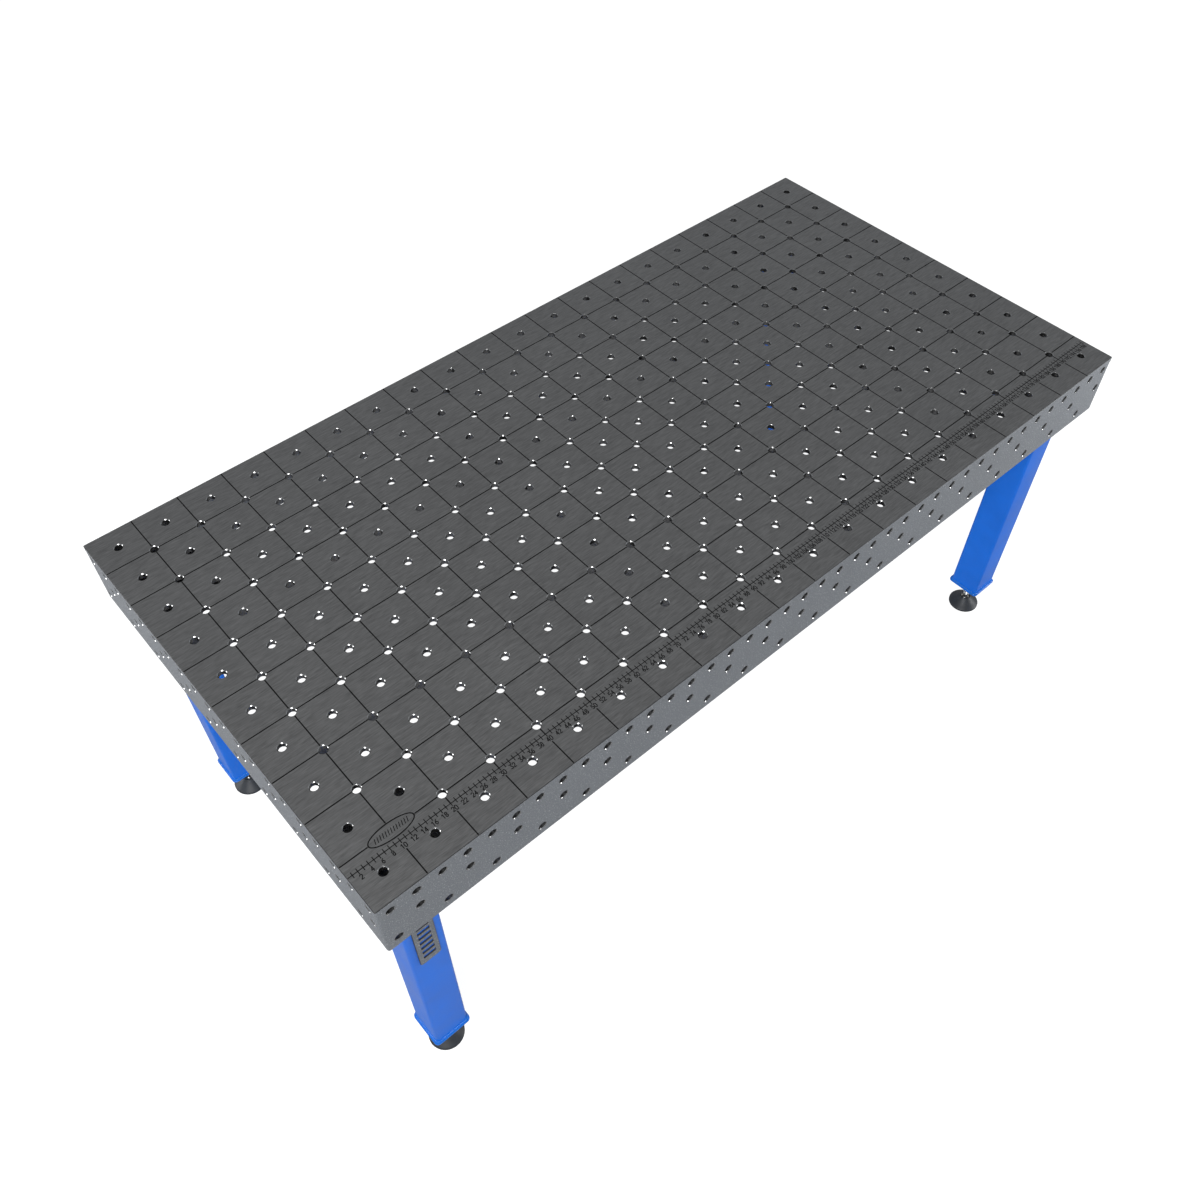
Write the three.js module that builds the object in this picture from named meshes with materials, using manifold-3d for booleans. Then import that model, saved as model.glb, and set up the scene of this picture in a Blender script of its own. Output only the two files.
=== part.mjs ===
// Perforated welding table: a drilled box-shaped top on four bolted legs with levelling feet.
// Millimetres, +Z up. The origin is on the floor, below the middle of the table.
// +X runs along the long side, from left to right as seen from the front. +Y points to the rear.

import * as THREE from 'three';
import Module from 'manifold-3d';
import { mergeGeometries, mergeVertices } from 'three/addons/utils/BufferGeometryUtils.js';

const wasm = await Module();
wasm.setup();

// ---- Driving dimensions -------------------------------------------------------------------

const TABLE_LENGTH = 2000;
const TABLE_WIDTH = 1000;
const TABLE_HEIGHT = 890;
const GAP = 0.3; // running or weld gap between two pieces that touch

const TOP_THICKNESS = 12;
const SIDE_DEPTH = 150; // from the work surface down to the lower edge of the side plates
const SIDE_THICKNESS = 12;

const HOLE_DIAMETER = 16; // clamping holes, held across the flats of a prism
const TOP_HOLE_SIDES = 6;
const SIDE_HOLE_SIDES = 4;
const GRID = 100; // pitch of one family of holes; two families are offset by half of it
const SIDE_ROW_TOP = 25; // rows of side holes, measured down from the work surface
const SIDE_ROW_MIDDLE = 75;
const SIDE_ROW_LOW = 125;

const RIB_THICKNESS = 8;
const RIB_DEPTH = 80; // from the work surface down to the lower edge of a rib
const LONG_RIB_Y = 175;
const CROSS_RIB_X = { left: -225, middle: 225, right: 625 };
const GUSSET_DEPTH = 140; // the cross ribs get deeper where they meet the long sides
const GUSSET_FOOT = 40;
const GUSSET_LENGTH = 120;

const MOUNT_SIZE = 188; // square plate in each corner that carries a leg
const MOUNT_DEPTH = 84; // from the work surface down to its upper face
const MOUNT_THICKNESS = 10;
const FLANGE_SIZE = 168;
const FLANGE_THICKNESS = 10;
const FLANGE_INSET = 10; // from the inner faces of the side plates
const BOLT_HOLE_DIAMETER = 13;
const BOLT_HOLE_SIDES = 6;
const BOLT_LINE = 35; // bolts stand this far in from the flange's inner edges
const BOLT_FIRST = 30; // first bolt, from the flange's outer edge
const BOLT_PITCH = 65;

const LEG_X = 920; // centre lines of the four legs
const LEG_Y = 418;
const TUBE_SIZE = 80;
const TUBE_WALL = 4;
const TUBE_CORNER = 6;
const BASE_SIZE = 90;
const BASE_THICKNESS = 6;
const BASE_CORNER = 8;
const BASE_BOTTOM = 95; // height of the base plate above the floor

const SPINDLE_RADIUS = 10; // M20 thread
const SPINDLE_TOP = 175;
const BORE_RADIUS = 11.1; // clears the thread inside the bush, washer, nut and base plate
const BUSH_RADIUS = 20;
const BUSH_LENGTH = 35;
const WASHER_RADIUS = 18.5;
const WASHER_THICKNESS = 3;
const NUT_ACROSS_FLATS = 30;
const NUT_HEIGHT = 16;
const WRENCH_RADIUS = 9.5; // hexagon on the spindle, below the thread
const WRENCH_BOTTOM = 36;
const WRENCH_TOP = 44;
const NECK_RADIUS = 5;
const JOURNAL_RADIUS = 3.6;
const JOURNAL_BOTTOM = 10;

const BALL_HEIGHT = 18; // centre of the ball above the floor
const BALL_RADIUS = 9;
const BALL_BORE = 4.2;
const CUP_INNER = 10;
const CUP_OUTER = 12.4;
const CUP_LIP = 5; // edge of the cup, above the centre of the ball
const SOCKET_RADIUS = 13.6;
const PAD_RADIUS = 40;
const PAD_HEIGHT = 30;
const PAD_RIM_TOP = 7;
const COLLAR_HEIGHT = 2;
const COLLAR_RADIUS = 15;
const COLLAR_BORE = 11;
const SOLE_RADIUS = 36;
const SOLE_THICKNESS = 3;
const PAD_BOTTOM = 1.5;

const NAME_PLATE_WIDTH = 46;
const NAME_PLATE_HEIGHT = 190;
const NAME_PLATE_THICKNESS = 3;
const NAME_PLATE_CORNER = 5;
const NAME_PLATE_BOTTOM = 506;
const NAME_SLOT_WIDTH = 24;
const NAME_SLOT_HEIGHT = 8;
const NAME_SLOT_COUNT = 8;
const NAME_SLOT_PITCH = 20;

const SMALL_SEGMENTS = 12; // multiples of four, so that lathes and extrusions line up
const PAD_SEGMENTS = 16;
const SPHERE_STEPS = 4;
const DRILL_OVERRUN = 2; // how far a cutting prism stands proud of the plate it cuts

// ---- Derived sizes ------------------------------------------------------------------------

const HALF_LENGTH = TABLE_LENGTH / 2;
const HALF_WIDTH = TABLE_WIDTH / 2;
const UNDER_TOP = TABLE_HEIGHT - TOP_THICKNESS - GAP;
const INNER_X = HALF_LENGTH - SIDE_THICKNESS - GAP;
const INNER_Y = HALF_WIDTH - SIDE_THICKNESS - GAP;
const MOUNT_BOTTOM = TABLE_HEIGHT - MOUNT_DEPTH - MOUNT_THICKNESS;
const FLANGE_BOTTOM = MOUNT_BOTTOM - GAP - FLANGE_THICKNESS;
const BASE_TOP = BASE_BOTTOM + BASE_THICKNESS;

// ---- Materials ----------------------------------------------------------------------------

function standard(color, roughness, metalness) {
  return new THREE.MeshStandardMaterial({ color, roughness, metalness });
}

const topSteel = standard(0x5d5f62, 0.45, 0.9);
const sideSteel = standard(0x7c8187, 0.6, 0.8);
const ribSteel = standard(0x6f7378, 0.6, 0.8);
const legPaint = standard(0x1f5fd0, 0.35, 0.0);
const plateSteel = standard(0x6b6e70, 0.5, 0.8);
const zincSteel = standard(0xb8bcc0, 0.3, 1.0);
const nylon = standard(0xdad7cc, 0.6, 0.0);
const padPlastic = standard(0x373c44, 0.6, 0.0);
const rubber = standard(0x17181a, 0.9, 0.0);

// ---- Shape helpers ------------------------------------------------------------------------

const group = new THREE.Group();

function addPart(name, geometry, material, x, y, z, parent = group) {
  const mesh = new THREE.Mesh(geometry, material);
  mesh.name = name;
  mesh.position.set(x, y, z);
  parent.add(mesh);
  return mesh;
}

function polygonPath(x, y, radius, sides, PathClass = THREE.Path) {
  const path = new PathClass();
  for (let k = 0; k < sides; k += 1) {
    const angle = (2 * Math.PI * k) / sides;
    const px = x + radius * Math.cos(angle);
    const py = y + radius * Math.sin(angle);
    if (k === 0) path.moveTo(px, py);
    else path.lineTo(px, py);
  }
  path.closePath();
  return path;
}

// Cutting prism for one hole, longer than the plate is thick.
function prism(x, y, circumradius, sides, plateThickness) {
  const shape = polygonPath(x, y, circumradius, sides, THREE.Shape);
  return extrude(shape, plateThickness + 2 * DRILL_OVERRUN).translate(0, 0, -DRILL_OVERRUN);
}

function clampingHole(x, y, sides, plateThickness) {
  const circumradius = HOLE_DIAMETER / 2 / Math.cos(Math.PI / sides);
  return prism(x, y, circumradius, sides, plateThickness);
}

function rectangle(left, bottom, right, top, PathClass = THREE.Shape) {
  const path = new PathClass();
  path.moveTo(left, bottom);
  path.lineTo(right, bottom);
  path.lineTo(right, top);
  path.lineTo(left, top);
  path.closePath();
  return path;
}

function roundedSquare(size, corner, PathClass = THREE.Shape) {
  const half = size / 2;
  const path = new PathClass();
  path.moveTo(half, -half + corner);
  path.lineTo(half, half - corner);
  path.absarc(half - corner, half - corner, corner, 0, Math.PI / 2);
  path.absarc(-half + corner, half - corner, corner, Math.PI / 2, Math.PI);
  path.absarc(-half + corner, -half + corner, corner, Math.PI, 1.5 * Math.PI);
  path.absarc(half - corner, -half + corner, corner, 1.5 * Math.PI, 2 * Math.PI);
  path.closePath();
  return path;
}

function polygonShape(points) {
  return new THREE.Shape(points.map(([x, y]) => new THREE.Vector2(x, y)));
}

function extrude(shape, depth) {
  return new THREE.ExtrudeGeometry(shape, { depth, bevelEnabled: false, curveSegments: 1 });
}

// Solid of revolution about Z; the profile is a list of [radius, height].
function revolve(profile, segments) {
  const points = profile.map(([radius, height]) => new THREE.Vector2(radius, height));
  return new THREE.LatheGeometry(points, segments).rotateX(Math.PI / 2);
}

// Points of an arc about [0, height], from one polar angle to another, as [radius, height].
function arcProfile(radius, height, fromAngle, toAngle, steps) {
  return Array.from({ length: steps + 1 }, (_, k) => {
    const angle = fromAngle + ((toAngle - fromAngle) * k) / steps;
    return [radius * Math.cos(angle), height + radius * Math.sin(angle)];
  });
}

function toManifold(geometry) {
  const bare = geometry.clone();
  bare.deleteAttribute('normal');
  bare.deleteAttribute('uv');
  const merged = mergeVertices(bare);
  const vertProperties = Float32Array.from(merged.attributes.position.array);
  const triVerts = Uint32Array.from(merged.index.array);
  return new wasm.Manifold(new wasm.Mesh({ numProp: 3, vertProperties, triVerts }));
}

// Cuts a list of separate hole prisms out of a plate.
function drill(plate, holes) {
  const cut = toManifold(plate).subtract(toManifold(mergeGeometries(holes))).getMesh();
  const geometry = new THREE.BufferGeometry();
  geometry.setAttribute('position', new THREE.BufferAttribute(cut.vertProperties, 3));
  geometry.setIndex(new THREE.BufferAttribute(cut.triVerts, 1));
  return geometry;
}

function ring(outerRadius, innerRadius, height, segments) {
  const shape = polygonPath(0, 0, outerRadius, segments, THREE.Shape);
  shape.holes.push(polygonPath(0, 0, innerRadius, segments));
  return extrude(shape, height);
}

// ---- Table top ----------------------------------------------------------------------------

// Two families of holes: one at the grid crossings, one at the centres of the grid squares.
// The crossing nearest the front left corner is left undrilled for the maker's mark.
function topPlate() {
  const holes = [];
  function drillFamily(first) {
    for (let x = first; x < TABLE_LENGTH; x += GRID) {
      for (let y = first; y < TABLE_WIDTH; y += GRID) {
        const undrilled = x === GRID && y === GRID;
        const [px, py] = [x - HALF_LENGTH, y - HALF_WIDTH];
        if (!undrilled) holes.push(clampingHole(px, py, TOP_HOLE_SIDES, TOP_THICKNESS));
      }
    }
  }
  drillFamily(GRID / 2);
  drillFamily(GRID);
  const outline = rectangle(-HALF_LENGTH, -HALF_WIDTH, HALF_LENGTH, HALF_WIDTH);
  return drill(extrude(outline, TOP_THICKNESS), holes);
}

// One side of the box as seen from outside: x from the viewer's left, y up from the lower edge.
// trim is what the neighbouring plates take off each end.
function sidePlate(faceLength, trim) {
  const height = UNDER_TOP - (TABLE_HEIGHT - SIDE_DEPTH);
  const holes = [];
  const rows = [
    { drop: SIDE_ROW_TOP, first: GRID / 4, pitch: GRID / 2 },
    { drop: SIDE_ROW_MIDDLE, first: (3 * GRID) / 4, pitch: GRID },
    { drop: SIDE_ROW_LOW, first: GRID / 4, pitch: GRID },
  ];
  for (const { drop, first, pitch } of rows) {
    for (let x = first; x < faceLength; x += pitch) {
      holes.push(clampingHole(x, SIDE_DEPTH - drop, SIDE_HOLE_SIDES, SIDE_THICKNESS));
    }
  }
  const outline = rectangle(trim, 0, faceLength - trim, height);
  return drill(extrude(outline, SIDE_THICKNESS), holes);
}

function addSide(name, faceLength, trim, faceDistance, turn) {
  const side = new THREE.Group();
  side.rotation.z = turn;
  group.add(side);
  const lowerEdge = TABLE_HEIGHT - SIDE_DEPTH;
  const geometry = sidePlate(faceLength, trim);
  const inside = SIDE_THICKNESS - faceDistance;
  const mesh = addPart(name, geometry, sideSteel, -faceLength / 2, inside, lowerEdge, side);
  mesh.rotation.x = Math.PI / 2;
}

function addTable() {
  addPart('top_plate', topPlate(), topSteel, 0, 0, TABLE_HEIGHT - TOP_THICKNESS);
  const trim = SIDE_THICKNESS + GAP;
  addSide('side_plate_front', TABLE_LENGTH, 0, HALF_WIDTH, 0);
  addSide('side_plate_rear', TABLE_LENGTH, 0, HALF_WIDTH, Math.PI);
  addSide('end_plate_right', TABLE_WIDTH, trim, HALF_LENGTH, Math.PI / 2);
  addSide('end_plate_left', TABLE_WIDTH, trim, HALF_LENGTH, -Math.PI / 2);
}

// ---- Ribs ---------------------------------------------------------------------------------

const RIB_BOTTOM = TABLE_HEIGHT - RIB_DEPTH;
const RIB_MIDDLE = (RIB_BOTTOM + UNDER_TOP) / 2;
const NOTCH_HALF = RIB_THICKNESS / 2 + GAP;

// Long ribs are notched from below, where the cross ribs pass.
function longRib() {
  const outline = [[-INNER_X, UNDER_TOP], [-INNER_X, RIB_BOTTOM]];
  for (const x of Object.values(CROSS_RIB_X)) {
    outline.push([x - NOTCH_HALF, RIB_BOTTOM], [x - NOTCH_HALF, RIB_MIDDLE + GAP / 2]);
    outline.push([x + NOTCH_HALF, RIB_MIDDLE + GAP / 2], [x + NOTCH_HALF, RIB_BOTTOM]);
  }
  outline.push([INNER_X, RIB_BOTTOM], [INNER_X, UNDER_TOP]);
  return extrude(polygonShape(outline), RIB_THICKNESS).rotateX(Math.PI / 2);
}

// Cross ribs are notched from above, and deepen into a gusset at each end.
function crossRib() {
  const gussetBottom = TABLE_HEIGHT - GUSSET_DEPTH;
  const outline = [
    [-INNER_Y, UNDER_TOP],
    [-INNER_Y, gussetBottom],
    [-INNER_Y + GUSSET_FOOT, gussetBottom],
    [-INNER_Y + GUSSET_LENGTH, RIB_BOTTOM],
    [INNER_Y - GUSSET_LENGTH, RIB_BOTTOM],
    [INNER_Y - GUSSET_FOOT, gussetBottom],
    [INNER_Y, gussetBottom],
    [INNER_Y, UNDER_TOP],
  ];
  for (const y of [LONG_RIB_Y, -LONG_RIB_Y]) {
    outline.push([y + NOTCH_HALF, UNDER_TOP], [y + NOTCH_HALF, RIB_MIDDLE - GAP / 2]);
    outline.push([y - NOTCH_HALF, RIB_MIDDLE - GAP / 2], [y - NOTCH_HALF, UNDER_TOP]);
  }
  const geometry = extrude(polygonShape(outline), RIB_THICKNESS);
  return geometry.rotateX(Math.PI / 2).rotateZ(Math.PI / 2);
}

function addRibs() {
  const half = RIB_THICKNESS / 2;
  addPart('long_rib_front', longRib(), ribSteel, 0, half - LONG_RIB_Y, 0);
  addPart('long_rib_rear', longRib(), ribSteel, 0, half + LONG_RIB_Y, 0);
  for (const [place, x] of Object.entries(CROSS_RIB_X)) {
    addPart(`cross_rib_${place}`, crossRib(), ribSteel, x - half, 0, 0);
  }
}

// ---- Legs ---------------------------------------------------------------------------------

// Centres of the four leg bolts, in an L along the flange's inner edges.
function boltCentres(signX, signY) {
  const outer = INNER_X - FLANGE_INSET;
  const outerY = INNER_Y - FLANGE_INSET;
  const line = FLANGE_SIZE - BOLT_LINE;
  const centres = [];
  for (let k = 0; k < 2; k += 1) {
    const along = BOLT_FIRST + k * BOLT_PITCH;
    centres.push([signX * (outer - line), signY * (outerY - along)]);
    centres.push([signX * (outer - along), signY * (outerY - line)]);
  }
  return centres;
}

// Square plate in a corner of the box, drilled for the leg bolts.
function cornerPlate(size, inset, thickness, signX, signY) {
  const farX = signX * (INNER_X - inset);
  const nearX = signX * (INNER_X - inset - size);
  const farY = signY * (INNER_Y - inset);
  const nearY = signY * (INNER_Y - inset - size);
  const left = Math.min(farX, nearX);
  const front = Math.min(farY, nearY);
  const outline = rectangle(left, front, left + size, front + size);
  const holes = boltCentres(signX, signY).map(([x, y]) =>
    prism(x, y, BOLT_HOLE_DIAMETER / 2, BOLT_HOLE_SIDES, thickness));
  return drill(extrude(outline, thickness), holes);
}

function legTube() {
  const shape = roundedSquare(TUBE_SIZE, TUBE_CORNER);
  const inner = TUBE_SIZE - 2 * TUBE_WALL;
  shape.holes.push(roundedSquare(inner, TUBE_CORNER - TUBE_WALL / 2, THREE.Path));
  return extrude(shape, FLANGE_BOTTOM - GAP - (BASE_TOP + GAP));
}

function basePlate() {
  const shape = roundedSquare(BASE_SIZE, BASE_CORNER);
  shape.holes.push(polygonPath(0, 0, BORE_RADIUS, SMALL_SEGMENTS));
  return extrude(shape, BASE_THICKNESS);
}

// ---- Levelling feet -----------------------------------------------------------------------

// Threaded spindle with a wrench hexagon, a neck and a journal that turns in the ball.
function spindle() {
  const neckBottom = BALL_HEIGHT + BALL_RADIUS;
  return revolve([
    [0, JOURNAL_BOTTOM],
    [JOURNAL_RADIUS, JOURNAL_BOTTOM],
    [JOURNAL_RADIUS, neckBottom],
    [NECK_RADIUS, neckBottom],
    [NECK_RADIUS, WRENCH_BOTTOM],
    [WRENCH_RADIUS, WRENCH_BOTTOM],
    [WRENCH_RADIUS, WRENCH_TOP],
    [SPINDLE_RADIUS, WRENCH_TOP],
    [SPINDLE_RADIUS, SPINDLE_TOP],
    [0, SPINDLE_TOP],
  ], SMALL_SEGMENTS);
}

// Ball knuckle, bored through for the journal.
function footBall() {
  const limit = Math.acos(BALL_BORE / BALL_RADIUS);
  const profile = arcProfile(BALL_RADIUS, BALL_HEIGHT, -limit, limit, SPHERE_STEPS);
  return revolve([...profile, profile[0]], SMALL_SEGMENTS);
}

// Nylon cup around the lower part of the ball; its inside and outside are spherical.
function ballCup() {
  const lip = Math.asin(CUP_LIP / CUP_INNER);
  const inside = arcProfile(CUP_INNER, BALL_HEIGHT, lip, -Math.PI / 2, SPHERE_STEPS);
  const outside = arcProfile(CUP_OUTER, BALL_HEIGHT, -Math.PI / 2, lip, SPHERE_STEPS);
  return revolve([...outside, ...inside], SMALL_SEGMENTS);
}

// Conical pad with a spherical socket for the cup and a shallow recess for the sole.
function footPad() {
  const mouth = Math.acos(COLLAR_BORE / SOCKET_RADIUS);
  const recessTop = SOLE_THICKNESS + GAP;
  return revolve([
    [0, recessTop],
    [SOLE_RADIUS + GAP, recessTop],
    [SOLE_RADIUS + GAP, PAD_BOTTOM],
    [PAD_RADIUS, PAD_BOTTOM],
    [PAD_RADIUS, PAD_RIM_TOP],
    [COLLAR_RADIUS, PAD_HEIGHT - COLLAR_HEIGHT],
    [COLLAR_RADIUS, PAD_HEIGHT],
    [COLLAR_BORE, PAD_HEIGHT],
    ...arcProfile(SOCKET_RADIUS, BALL_HEIGHT, mouth, -Math.PI / 2, SPHERE_STEPS),
  ], PAD_SEGMENTS);
}

function lockNut() {
  const corner = NUT_ACROSS_FLATS / 2 / Math.cos(Math.PI / 6);
  const shape = polygonPath(0, 0, corner, 6, THREE.Shape);
  shape.holes.push(polygonPath(0, 0, BORE_RADIUS, SMALL_SEGMENTS));
  return extrude(shape, NUT_HEIGHT);
}

function addFoot(corner, x, y) {
  const washerBottom = BASE_BOTTOM - GAP - WASHER_THICKNESS;
  const nutBottom = washerBottom - GAP - NUT_HEIGHT;
  const washer = ring(WASHER_RADIUS, BORE_RADIUS, WASHER_THICKNESS, SMALL_SEGMENTS);
  const bush = ring(BUSH_RADIUS, BORE_RADIUS, BUSH_LENGTH, SMALL_SEGMENTS);
  const sole = extrude(polygonPath(0, 0, SOLE_RADIUS, PAD_SEGMENTS, THREE.Shape), SOLE_THICKNESS);
  addPart(`${corner}_thread_bush`, bush, zincSteel, x, y, BASE_TOP + GAP);
  addPart(`${corner}_lock_washer`, washer, zincSteel, x, y, washerBottom);
  addPart(`${corner}_lock_nut`, lockNut(), zincSteel, x, y, nutBottom);
  addPart(`${corner}_spindle`, spindle(), zincSteel, x, y, 0);
  addPart(`${corner}_foot_ball`, footBall(), zincSteel, x, y, 0);
  addPart(`${corner}_ball_cup`, ballCup(), nylon, x, y, 0);
  addPart(`${corner}_foot_pad`, footPad(), padPlastic, x, y, 0);
  addPart(`${corner}_foot_sole`, sole, rubber, x, y, 0);
}

function addLegs() {
  const corners = {
    front_left: [-1, -1],
    front_right: [1, -1],
    rear_left: [-1, 1],
    rear_right: [1, 1],
  };
  for (const [corner, [signX, signY]] of Object.entries(corners)) {
    const x = signX * LEG_X;
    const y = signY * LEG_Y;
    const mount = cornerPlate(MOUNT_SIZE, 0, MOUNT_THICKNESS, signX, signY);
    const flange = cornerPlate(FLANGE_SIZE, FLANGE_INSET, FLANGE_THICKNESS, signX, signY);
    addPart(`${corner}_leg_mount`, mount, ribSteel, 0, 0, MOUNT_BOTTOM);
    addPart(`${corner}_leg_flange`, flange, legPaint, 0, 0, FLANGE_BOTTOM);
    addPart(`${corner}_leg_tube`, legTube(), legPaint, x, y, BASE_TOP + GAP);
    addPart(`${corner}_base_plate`, basePlate(), legPaint, x, y, BASE_BOTTOM);
    addFoot(corner, x, y);
  }
}

// ---- Name plate ---------------------------------------------------------------------------

// Plain plate with a column of slots, on the front face of the front left leg.
function namePlate() {
  const halfWidth = NAME_PLATE_WIDTH / 2;
  const c = NAME_PLATE_CORNER;
  const outline = [
    [-halfWidth + c, 0],
    [halfWidth - c, 0],
    [halfWidth, c],
    [halfWidth, NAME_PLATE_HEIGHT - c],
    [halfWidth - c, NAME_PLATE_HEIGHT],
    [-halfWidth + c, NAME_PLATE_HEIGHT],
    [-halfWidth, NAME_PLATE_HEIGHT - c],
    [-halfWidth, c],
  ];
  const shape = polygonShape(outline);
  const halfSlot = NAME_SLOT_WIDTH / 2;
  const firstSlot = (NAME_PLATE_HEIGHT - (NAME_SLOT_COUNT - 1) * NAME_SLOT_PITCH) / 2;
  for (let k = 0; k < NAME_SLOT_COUNT; k += 1) {
    const middle = firstSlot + k * NAME_SLOT_PITCH;
    const low = middle - NAME_SLOT_HEIGHT / 2;
    const high = middle + NAME_SLOT_HEIGHT / 2;
    shape.holes.push(rectangle(-halfSlot, low, halfSlot, high, THREE.Path));
  }
  return extrude(shape, NAME_PLATE_THICKNESS).rotateX(Math.PI / 2);
}

function addNamePlate() {
  const backFace = -LEG_Y - TUBE_SIZE / 2 - GAP;
  addPart('name_plate', namePlate(), plateSteel, -LEG_X, backFace, NAME_PLATE_BOTTOM);
}

addTable();
addRibs();
addLegs();
addNamePlate();

export default group;
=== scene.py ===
import math

import bmesh
import bpy
from mathutils import Matrix, Vector
from mathutils.geometry import delaunay_2d_cdt


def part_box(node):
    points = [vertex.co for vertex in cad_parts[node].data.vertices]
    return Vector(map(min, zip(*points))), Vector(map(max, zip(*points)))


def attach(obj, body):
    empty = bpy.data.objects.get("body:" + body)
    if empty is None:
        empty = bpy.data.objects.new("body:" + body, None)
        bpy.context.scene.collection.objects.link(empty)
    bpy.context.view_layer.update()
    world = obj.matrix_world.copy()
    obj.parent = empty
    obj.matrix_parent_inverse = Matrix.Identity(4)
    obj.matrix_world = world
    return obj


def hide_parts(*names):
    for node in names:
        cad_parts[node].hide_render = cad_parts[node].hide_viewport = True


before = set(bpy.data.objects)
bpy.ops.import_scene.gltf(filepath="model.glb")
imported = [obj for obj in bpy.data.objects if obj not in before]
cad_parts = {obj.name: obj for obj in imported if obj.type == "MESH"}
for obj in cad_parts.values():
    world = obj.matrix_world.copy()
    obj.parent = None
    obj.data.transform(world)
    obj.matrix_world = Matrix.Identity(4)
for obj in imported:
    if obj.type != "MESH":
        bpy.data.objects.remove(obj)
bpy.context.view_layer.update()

# Perforated welding table, drawn around the CAD frame. Sizes are in metres unless a name says
# otherwise. Plates are modelled lying flat, with the outer face up at height 0, and then placed.

# ---- Sizes -------------------------------------

GRID = 0.100  # pitch of each of the two families of clamping holes
HOLE_RADIUS = 0.008
HOLE_CHAMFER = 0.0013
HOLE_STEPS = 32
COUNT_TOLERANCE = 0.001  # keeps rounding from adding a hole at a plate's end
MERGE_DISTANCE = 0.000002
FLAT_TOLERANCE = 0.0000001
SHARP_ANGLE = 32  # degrees; flatter edges are shaded smooth
SIDE_ROWS = (  # below the work surface, first hole from the viewer's left, pitch
    (0.025, 0.025, 0.050),
    (0.075, 0.075, 0.100),
    (0.125, 0.025, 0.100),
)
EDGE_BREAK = 0.001
SEAM = 0.00015  # ground flush, so only a hairline shows between two plates
TOP_CORNER = 0.003
BOX_CORNER = 0.006
ARC_STEPS = 5

SCRIBE_DEPTH = 0.0004
SCRIBE_WIDTH = 0.0024
SCRIBE_GAP = 0.0004  # scribed lines stop this far from a chamfer or an edge
RULER_LINE = 0.076  # from the front edge
RULER_STEP = 0.010
RULER_TICK = 0.012
RULER_WIDTH = 0.0016
NUMBER_MIDDLE = 0.0645
NUMBER_HEIGHT = 0.0085
NUMBER_STEP = 2  # one number for every second tick
DIGIT_WIDTH = 0.0042
DIGIT_PITCH = 0.0060
PEN_WIDTH = 0.0016
PEN_OVERRUN = PEN_WIDTH / 2.5  # closes the corners between strokes
CROSS_LINE_STOP = 0.058  # the cross lines leave room for the numbers
MARK_LENGTH = 0.090  # plain oval mark around the undrilled crossing
MARK_WIDTH = 0.032
MARK_STEPS = 64
MARK_BARS = 13
MARK_BAR_PITCH = 0.0052
MARK_BAR_WIDTH = 0.0014
MARK_BAR_HALF = (0.0016, 0.005)  # half of a bar's lean and of its height

BOLT_RADIUS = 0.006
BOLT_HOLE_RADIUS = 0.0065
BOLT_FLATS = 0.019
BOLT_HEAD = 0.0075
BOLT_NUT = 0.010
BOLT_WASHER = (0.012, 0.0025)  # radius, height
BOLT_END = 0.004  # thread beyond the nut
BOLT_END_CHAMFER = 0.001
WASHER_BREAK = 0.0003
BOLT_LINE = 0.035  # from the flange's inner edges
BOLT_PLACES = (0.030, 0.095)  # from the flange's outer edges
MOUNT_CORNER = 0.004
SMALL_CHAMFER = 0.0006  # on the holes of the corner and base plates

TUBE_CORNER = 0.007
TUBE_WALL = 0.004
TUBE_INNER_CORNER = TUBE_CORNER - TUBE_WALL * 0.8
BASE_CORNER = 0.010
BASE_BREAK = 0.0012
BASE_BORE = 0.0109
RIB_BREAK = 0.0008
BEAD = 0.0042
LEG_BEAD = BEAD * 0.8
BEAD_RIPPLE = 0.0035
BEAD_SWELL = 0.10  # share by which a ripple swells the bead
BEAD_ROOT = 0.0003  # how far the bead's root lies inside the corner

THREAD_PITCH = 0.0025
THREAD_DEPTH = 0.0013
THREAD_LEVELS = 6  # rings of vertices in each turn of the thread
TURN_STEPS = 48
ROD_STEPS = 24
HEXAGON_STEPS = 4  # rings of vertices in a hexagon's turned chamfer

# Each digit as pen strokes on a grid two units wide and four units high.
DIGITS = {
    "0": [[(0, 1), (0, 3), (0.6, 4), (1.4, 4), (2, 3), (2, 1), (1.4, 0), (0.6, 0), (0, 1)]],
    "1": [[(0.3, 3.2), (1.2, 4), (1.2, 0)]],
    "2": [[(0, 3.2), (0.6, 4), (1.4, 4), (2, 3.2), (1.8, 2.2), (0, 0), (2, 0)]],
    "3": [[(0, 4), (2, 4), (0.9, 2.4), (2, 1.6), (2, 0.8), (1.3, 0), (0, 0.3)]],
    "4": [[(1.5, 0), (1.5, 4), (0, 1.2), (2, 1.2)]],
    "5": [[(2, 4), (0.2, 4), (0.1, 2.3), (1.4, 2.4), (2, 1.5), (1.8, 0.5), (1.2, 0), (0, 0.3)]],
    "6": [[(1.7, 4), (0.5, 2.8), (0, 1.2), (0.6, 0), (1.4, 0), (2, 1.1), (1.4, 2.2), (0.4, 2)]],
    "7": [[(0, 4), (2, 4), (0.8, 0)]],
    "8": [
        [(0.5, 2.2), (0.1, 3.2), (0.6, 4), (1.4, 4), (1.9, 3.2), (1.5, 2.2), (0.5, 2.2)],
        [(0.5, 2.2), (0, 1.1), (0.6, 0), (1.4, 0), (2, 1.1), (1.5, 2.2)],
    ],
    "9": [[(0.3, 0), (1.5, 1.2), (2, 2.8), (1.4, 4), (0.6, 4), (0, 2.9), (0.6, 1.8), (1.6, 2)]],
}

CORNERS = {
    "front_left": (-1, -1),
    "front_right": (1, -1),
    "rear_left": (-1, 1),
    "rear_right": (1, 1),
}


# ---- Camera, lights and floor ------------------

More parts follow.
